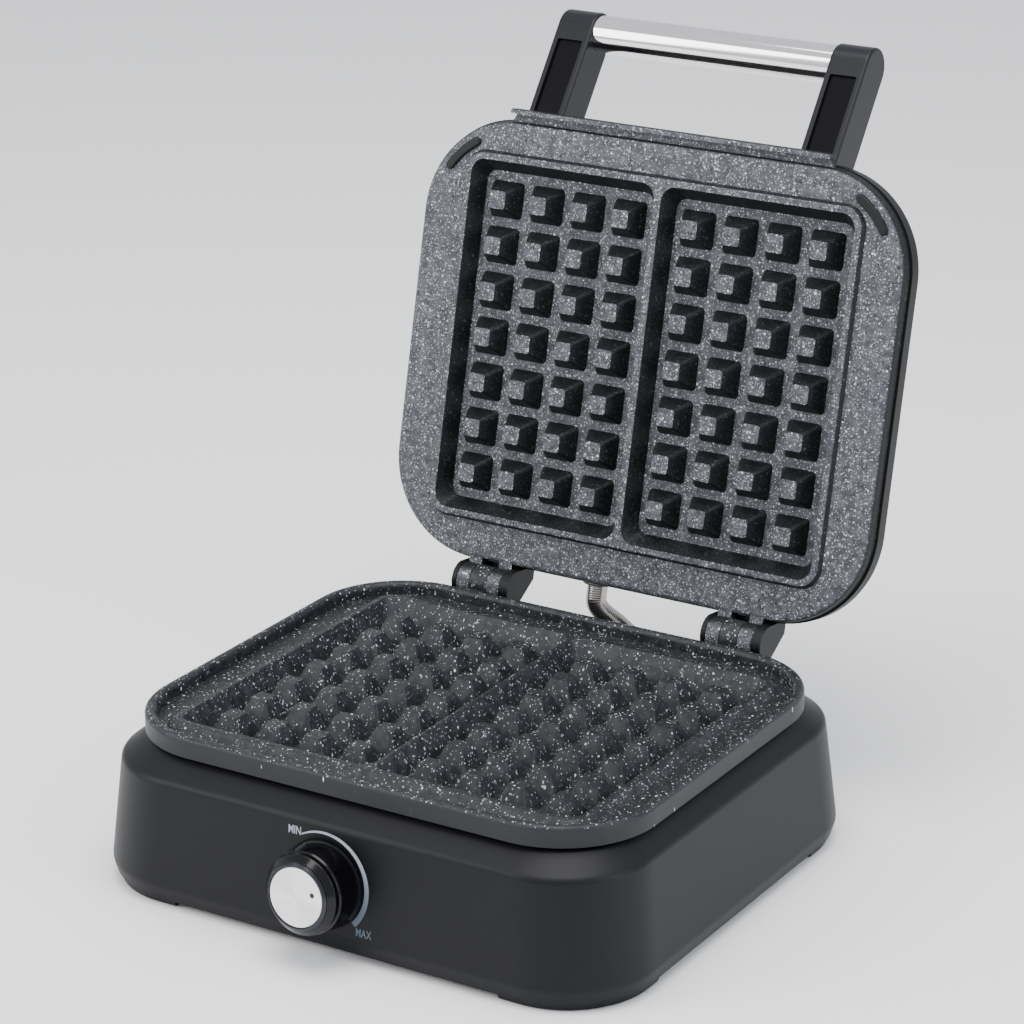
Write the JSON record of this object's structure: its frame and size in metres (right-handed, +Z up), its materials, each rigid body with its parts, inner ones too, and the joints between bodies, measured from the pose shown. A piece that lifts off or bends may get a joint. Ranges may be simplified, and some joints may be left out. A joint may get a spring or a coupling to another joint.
{
  "type": "waffle maker",
  "caption": "Hinged waffle maker with two stone-effect studded plates, a raised tube handle on the lid and a front dial, standing open.",
  "frame": {"origin": "centre of the rectangle through the four foot pads, on the surface the waffle maker stands on", "axes": "+X to the right seen from the front, +Y to the hinges at the back, +Z up"},
  "size_m": [0.2682, 0.3621, 0.33],
  "materials": {
    "housing": "moulded black plastic, fine satin texture",
    "foot_rubber": "soft black rubber",
    "bumper": "heat-proof black rubber",
    "lower_coating": "die-cast aluminium under a dark stone-effect non-stick coating",
    "upper_coating": "die-cast aluminium under a grey stone-effect non-stick coating",
    "arm_paint": "satin dark grey paint on die-cast metal",
    "strip": "near-black plastic",
    "polished_tube": "polished steel",
    "knob_gloss": "high-gloss black plastic",
    "ring_satin": "satin grey",
    "disc_spun": "spun in circles",
    "pointer_fill": "black fill",
    "conduit_steel": "spiral-wound stainless steel",
    "ferrule_steel": "turned stainless steel",
    "plated_steel": "zinc plated",
    "gland_plastic": "black nylon",
    "pin_steel": "ground steel",
    "element_sheath": "heat-darkened steel sheath",
    "clamp_metal": "plain aluminium",
    "shield_metal": "bright sheet metal",
    "ceramic_body": "glazed steatite",
    "block_plastic": "natural nylon",
    "tag_brass": "plain brass",
    "fuse_metal": "plain metal case",
    "wire_sleeve": "glass-braid silicone sleeve",
    "lamp_glass": "clear glass",
    "lens_red": "red clear plastic",
    "lens_green": "green clear plastic"
  },
  "bodies": {
    "base": {"base_housing": "housing", "base_bottom_cover": "housing", "foot_pads": "foot_rubber", "bottom_screws": "plated_steel", "lower_plate": "lower_coating", "lower_heating_element": "element_sheath", "lower_element_clamps": "clamp_metal", "lower_heat_shield": "shield_metal", "shield_screws": "plated_steel", "lower_plate_screws": "plated_steel", "thermostat_bracket": "shield_metal", "bracket_screws": "plated_steel", "thermostat_body": "ceramic_body", "thermostat_nut": "plated_steel", "terminal_block": "block_plastic", "terminal_screws": "plated_steel", "thermal_fuse": "fuse_metal", "fuse_clip": "shield_metal", "earth_tag": "tag_brass", "cord_gland": "gland_plastic", "conduit_ferrule_base": "ferrule_steel", "ferrule_nut_base": "plated_steel", "conduit": "conduit_steel", "base_wiring": "wire_sleeve"},
    "lid": {"upper_plate": "upper_coating", "plate_bumpers": "bumper", "lid_housing": "housing", "handle_arm_left": "arm_paint", "handle_arm_right": "arm_paint", "arm_strip_left": "strip", "arm_strip_right": "strip", "handle_tube": "polished_tube", "tube_plugs": "strip", "handle_screws": "plated_steel", "lid_screws": "plated_steel", "hinge_pins": "pin_steel", "conduit_ferrule_lid": "ferrule_steel", "ferrule_nut_lid": "plated_steel", "upper_heating_element": "element_sheath", "upper_element_clamps": "clamp_metal", "shield_spacers": "clamp_metal", "upper_heat_shield": "shield_metal", "upper_shield_screws": "plated_steel", "lamp_holder": "block_plastic", "indicator_lamps": "lamp_glass", "lens_power": "lens_red", "lens_ready": "lens_green", "lid_terminal_block": "block_plastic", "lid_fuse": "fuse_metal", "lid_fuse_clip": "shield_metal", "lid_wiring": "wire_sleeve"},
    "knob": {"thermostat_shaft": "pin_steel", "knob_body": "knob_gloss", "knob_ring": "ring_satin", "knob_disc": "disc_spun", "knob_pointer": "pointer_fill"}
  },
  "joints": [
    {"name": "lid_hinge", "type": "hinge", "parent": "base", "child": "lid", "pos_m": [0, 0.1147, 0.076], "axis": [1, 0, 0], "range_deg": [0, 103.45], "deforming": ["conduit"]},
    {"name": "dial_turn", "type": "hinge", "parent": "base", "child": "knob", "pos_m": [-0.003, -0.11612, 0.032], "axis": [0, -0.9955, 0.0943], "range_deg": [-63, 95]}
  ]
}
